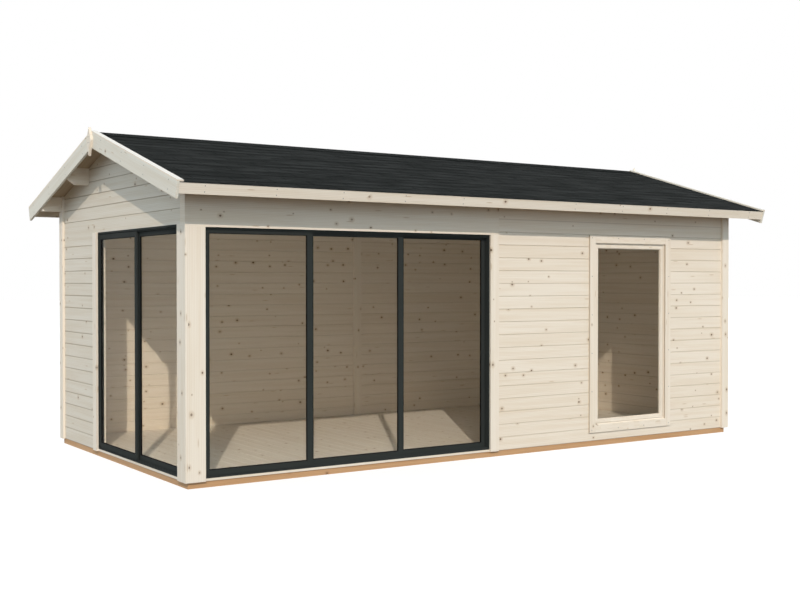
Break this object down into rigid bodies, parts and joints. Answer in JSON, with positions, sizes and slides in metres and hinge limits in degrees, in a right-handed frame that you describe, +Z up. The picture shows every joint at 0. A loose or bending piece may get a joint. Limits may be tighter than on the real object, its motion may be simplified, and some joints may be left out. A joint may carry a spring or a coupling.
{
  "type": "log garden hut",
  "caption": "Log garden hut on treated beams with a low felted saddle roof, diamond finials, a tall casement window and sliding glass doors in the front and one gable.",
  "frame": {"origin": "on the ground under the middle of the roof", "axes": "+X along the front to the right, +Y from the front to the back, +Z up"},
  "size_m": [6.367, 3.6816, 2.8451],
  "materials": {
    "spruce": "clear oiled logs",
    "planed_spruce": "planed boards",
    "window_wood": "planed and oiled",
    "floor_boards": "bare boards",
    "treated_timber": "brown pressure treated",
    "anthracite_aluminium": "anthracite powder coat",
    "glass": "clear",
    "roofing_felt": "mineral felt"
  },
  "bodies": {
    "hut": {"foundation_beams": "treated_timber", "foundation_joists": "treated_timber", "floor": "floor_boards", "corner_post_front_left": "spruce", "corner_posts": "spruce", "wall_posts": "spruce", "front_header": "spruce", "front_wall_base": "spruce", "front_wall_panels": "spruce", "front_wall_top": "spruce", "left_wall": "spruce", "left_lintel": "spruce", "left_gable": "spruce", "right_wall": "spruce", "right_gable": "spruce", "back_wall": "spruce", "wall_plates": "spruce", "purlins": "spruce", "roof_deck": "planed_spruce", "roof_felt": "roofing_felt", "ridge_cap": "roofing_felt", "fascias": "planed_spruce", "bargeboards": "planed_spruce", "verge_strips": "planed_spruce", "finials": "planed_spruce", "window_casing": "window_wood", "window_frame": "window_wood", "window_sash": "window_wood", "window_glass": "glass", "thresholds": "planed_spruce", "front_door_head": "anthracite_aluminium", "front_door_sill": "anthracite_aluminium", "front_door_jambs": "anthracite_aluminium", "gable_door_head": "anthracite_aluminium", "gable_door_sill": "anthracite_aluminium", "gable_door_jambs": "anthracite_aluminium"},
    "left_leaf": {"front_leaf_left": "anthracite_aluminium", "front_leaf_left_glass": "glass"},
    "middle_leaf": {"front_leaf_middle": "anthracite_aluminium", "front_leaf_middle_glass": "glass"},
    "right_leaf": {"front_leaf_right": "anthracite_aluminium", "front_leaf_right_glass": "glass"},
    "far_leaf": {"gable_leaf_far": "anthracite_aluminium", "gable_leaf_far_glass": "glass"},
    "near_leaf": {"gable_leaf_near": "anthracite_aluminium", "gable_leaf_near_glass": "glass"}
  },
  "joints": [
    {"name": "front_left_slide", "type": "slide", "parent": "hut", "child": "left_leaf", "axis": [1, 0, 0], "range_m": [0, 1.764]},
    {"name": "front_middle_slide", "type": "slide", "parent": "hut", "child": "middle_leaf", "axis": [1, 0, 0], "range_m": [-0.882, 0.882]},
    {"name": "front_right_slide", "type": "slide", "parent": "hut", "child": "right_leaf", "axis": [1, 0, 0], "range_m": [-1.764, 0]},
    {"name": "gable_far_slide", "type": "slide", "parent": "hut", "child": "far_leaf", "axis": [0, 1, 0], "range_m": [-0.879, 0]},
    {"name": "gable_near_slide", "type": "slide", "parent": "hut", "child": "near_leaf", "axis": [0, 1, 0], "range_m": [0, 0.879]}
  ]
}
